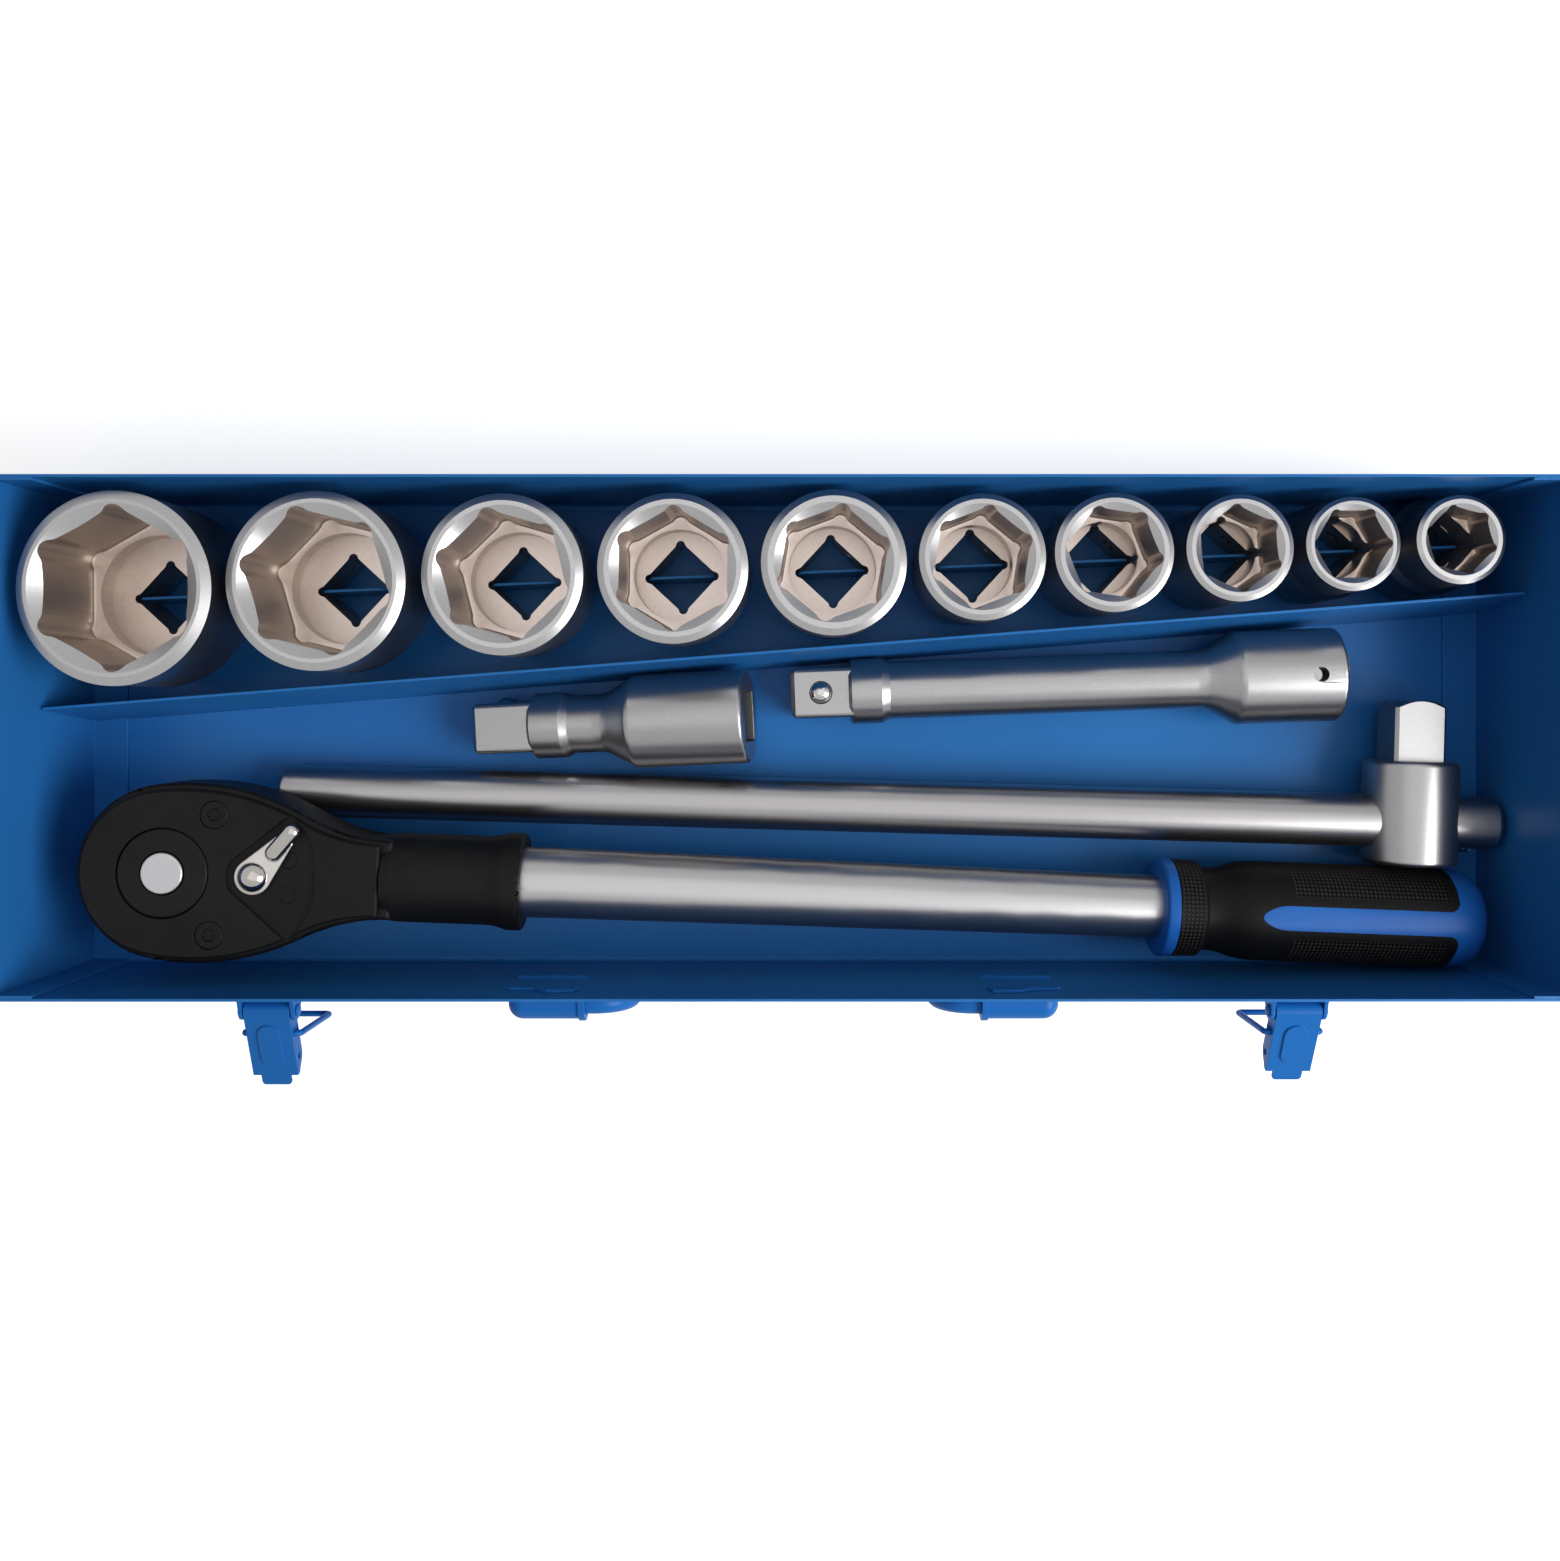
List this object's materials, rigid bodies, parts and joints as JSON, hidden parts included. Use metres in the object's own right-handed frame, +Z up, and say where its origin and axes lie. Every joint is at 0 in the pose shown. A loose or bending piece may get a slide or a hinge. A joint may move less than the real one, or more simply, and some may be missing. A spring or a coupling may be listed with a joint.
{
  "type": "socket wrench set in case",
  "caption": "Open blue sheet-steel case with six-point sockets on a rear tray, extension bars, a sliding T-handle, a reversible ratchet, two toggle latches and a carry handle.",
  "frame": {"origin": "middle of the case floor's underside, on the surface that the case rests on", "axes": "+X runs along the case to the right, towards the small sockets and the grip; +Y runs from the latches to the sockets at the back; +Z is up, out of the open case"},
  "size_m": [0.5436, 0.2142, 0.071],
  "materials": {
    "blue_paint": "glossy blue powder coat",
    "blue_fittings": "glossy blue powder coat, lighter",
    "satin_chrome": "satin chrome plate",
    "bright_chrome": "finely brushed chrome plate",
    "black_coat": "matt black coat",
    "gear_steel": "turned steel",
    "ball_steel": "polished steel",
    "spring_steel": "drawn spring wire",
    "black_plastic": "matt soft plastic, dotted",
    "blue_plastic": "smooth hard plastic"
  },
  "bodies": {
    "case": {"case_trough": "blue_paint", "left_end_panel": "blue_paint", "right_end_panel": "blue_paint", "socket_tray": "blue_paint", "left_handle_bracket": "blue_fittings", "right_handle_bracket": "blue_fittings", "left_latch_base": "blue_fittings", "right_latch_base": "blue_fittings", "left_latch_pin": "blue_fittings", "right_latch_pin": "blue_fittings"},
    "carry_handle": {"carry_handle": "blue_fittings"},
    "left_latch_lever": {"left_latch_lever": "blue_fittings"},
    "left_latch_bail": {"left_latch_bail": "blue_fittings"},
    "right_latch_lever": {"right_latch_lever": "blue_fittings"},
    "right_latch_bail": {"right_latch_bail": "blue_fittings"},
    "socket_50": {"socket_50": "satin_chrome"},
    "socket_46": {"socket_46": "satin_chrome"},
    "socket_41": {"socket_41": "satin_chrome"},
    "socket_38": {"socket_38": "satin_chrome"},
    "socket_36": {"socket_36": "satin_chrome"},
    "socket_32": {"socket_32": "satin_chrome"},
    "socket_30": {"socket_30": "satin_chrome"},
    "socket_27": {"socket_27": "satin_chrome"},
    "socket_24": {"socket_24": "satin_chrome"},
    "socket_22": {"socket_22": "satin_chrome"},
    "long_extension": {"long_extension": "satin_chrome", "long_extension_spring": "spring_steel"},
    "long_extension_ball": {"long_extension_ball": "ball_steel"},
    "short_extension": {"short_extension": "satin_chrome", "short_extension_spring": "spring_steel"},
    "short_extension_ball": {"short_extension_ball": "ball_steel"},
    "t_bar": {"sliding_bar": "bright_chrome", "bar_stop_balls": "ball_steel"},
    "t_head": {"t_head": "satin_chrome", "t_head_spring": "spring_steel"},
    "t_head_ball": {"t_head_ball": "ball_steel"},
    "ratchet": {"ratchet_housing": "black_coat", "cover_plate": "black_coat", "cover_screws": "black_coat", "handle_tube": "bright_chrome", "grip_core": "blue_plastic", "grip_sleeve": "black_plastic"},
    "drive": {"drive_gear": "gear_steel", "release_spring": "spring_steel"},
    "release_button": {"release_button": "gear_steel"},
    "release_ball": {"release_ball": "ball_steel"},
    "reversing_lever": {"reversing_lever": "bright_chrome"},
    "pawl": {"pawl": "gear_steel"}
  },
  "joints": [
    {"name": "carry_handle_swing", "type": "hinge", "parent": "case", "child": "carry_handle", "pos_m": [0, -0.0961, 0.046], "axis": [-1, 0, 0], "range_deg": [0, 180]},
    {"name": "left_latch_swing", "type": "hinge", "parent": "case", "child": "left_latch_lever", "pos_m": [-0.1797, -0.0955, 0.061], "axis": [1, 0, 0], "range_deg": [-70, 66]},
    {"name": "left_bail_swing", "type": "hinge", "parent": "left_latch_lever", "child": "left_latch_bail", "pos_m": [-0.1797, -0.10422, 0.05856], "axis": [1, 0, 0], "range_deg": [-66, 70]},
    {"name": "right_latch_swing", "type": "hinge", "parent": "case", "child": "right_latch_lever", "pos_m": [0.1797, -0.0955, 0.061], "axis": [1, 0, 0], "range_deg": [-76, 60]},
    {"name": "right_bail_swing", "type": "hinge", "parent": "right_latch_lever", "child": "right_latch_bail", "pos_m": [0.1797, -0.10392, 0.05766], "axis": [1, 0, 0], "range_deg": [-60, 76]},
    {"name": "socket_50_lift", "type": "slide", "parent": "case", "child": "socket_50", "axis": [0, 0, 1], "range_m": [0, 0.09]},
    {"name": "socket_46_lift", "type": "slide", "parent": "case", "child": "socket_46", "axis": [0, 0, 1], "range_m": [0, 0.09]},
    {"name": "socket_41_lift", "type": "slide", "parent": "case", "child": "socket_41", "axis": [0, 0, 1], "range_m": [0, 0.09]},
    {"name": "socket_38_lift", "type": "slide", "parent": "case", "child": "socket_38", "axis": [0, 0, 1], "range_m": [0, 0.09]},
    {"name": "socket_36_lift", "type": "slide", "parent": "case", "child": "socket_36", "axis": [0, 0, 1], "range_m": [0, 0.09]},
    {"name": "socket_32_lift", "type": "slide", "parent": "case", "child": "socket_32", "axis": [0, 0, 1], "range_m": [0, 0.09]},
    {"name": "socket_30_lift", "type": "slide", "parent": "case", "child": "socket_30", "axis": [0, 0, 1], "range_m": [0, 0.09]},
    {"name": "socket_27_lift", "type": "slide", "parent": "case", "child": "socket_27", "axis": [0, 0, 1], "range_m": [0, 0.09]},
    {"name": "socket_24_lift", "type": "slide", "parent": "case", "child": "socket_24", "axis": [0, 0, 1], "range_m": [0, 0.09]},
    {"name": "socket_22_lift", "type": "slide", "parent": "case", "child": "socket_22", "axis": [0, 0, 1], "range_m": [0, 0.09]},
    {"name": "long_extension_lift", "type": "slide", "parent": "case", "child": "long_extension", "axis": [0, 0, 1], "range_m": [0, 0.09]},
    {"name": "long_extension_ball_press", "type": "slide", "parent": "long_extension", "child": "long_extension_ball", "axis": [0.0356, 0.0013, -0.9994], "range_m": [0, 0.0015], "stiffness_N_per_m": 1500, "deforming": ["long_extension_spring"]},
    {"name": "short_extension_lift", "type": "slide", "parent": "case", "child": "short_extension", "axis": [0, 0, 1], "range_m": [0, 0.09]},
    {"name": "short_extension_ball_press", "type": "slide", "parent": "short_extension", "child": "short_extension_ball", "axis": [0.0506, -0.9987, 0], "range_m": [0, 0.0015], "stiffness_N_per_m": 1500, "deforming": ["short_extension_spring"]},
    {"name": "t_bar_lift", "type": "slide", "parent": "case", "child": "t_bar", "axis": [0, 0, 1], "range_m": [0, 0.09]},
    {"name": "t_head_slide", "type": "slide", "parent": "t_bar", "child": "t_head", "axis": [0.9995, -0.0262, 0.0175], "range_m": [-0.016, 0]},
    {"name": "t_head_ball_press", "type": "slide", "parent": "t_head", "child": "t_head_ball", "axis": [-0.9995, 0.0262, -0.0175], "range_m": [0, 0.0015], "stiffness_N_per_m": 1500, "deforming": ["t_head_spring"]},
    {"name": "ratchet_lift", "type": "slide", "parent": "t_bar", "child": "ratchet", "axis": [0, 0, 1], "range_m": [0, 0.09]},
    {"name": "drive_turn", "type": "hinge", "parent": "ratchet", "child": "drive", "pos_m": [-0.2215, -0.0486, 0.03848], "axis": [0.0402, -0.0018, 0.9992], "continuous": true},
    {"name": "release_button_press", "type": "slide", "parent": "drive", "child": "release_button", "axis": [-0.0402, 0.0018, -0.9992], "range_m": [0, 0.004], "stiffness_N_per_m": 900, "deforming": ["release_spring"]},
    {"name": "release_ball_in", "type": "slide", "parent": "drive", "child": "release_ball", "axis": [-0.0445, -0.999, 0], "range_m": [0, 0.0012]},
    {"name": "reversing_lever_turn", "type": "hinge", "parent": "ratchet", "child": "reversing_lever", "pos_m": [-0.18956, -0.05002, 0.03719], "axis": [0.0402, -0.0018, 0.9992], "range_deg": [-102, 0]},
    {"name": "pawl_rock", "type": "hinge", "parent": "ratchet", "child": "pawl", "pos_m": [-0.18956, -0.05002, 0.03719], "axis": [0.0402, -0.0018, 0.9992], "range_deg": [-12, 0]}
  ],
  "couplings": [
    {"joint": "left_bail_swing", "follows": "left_latch_swing", "ratio": -1},
    {"joint": "right_bail_swing", "follows": "right_latch_swing", "ratio": -1},
    {"joint": "release_ball_in", "follows": "release_button_press", "ratio": 0.3},
    {"joint": "pawl_rock", "follows": "reversing_lever_turn", "ratio": 0.11765}
  ]
}
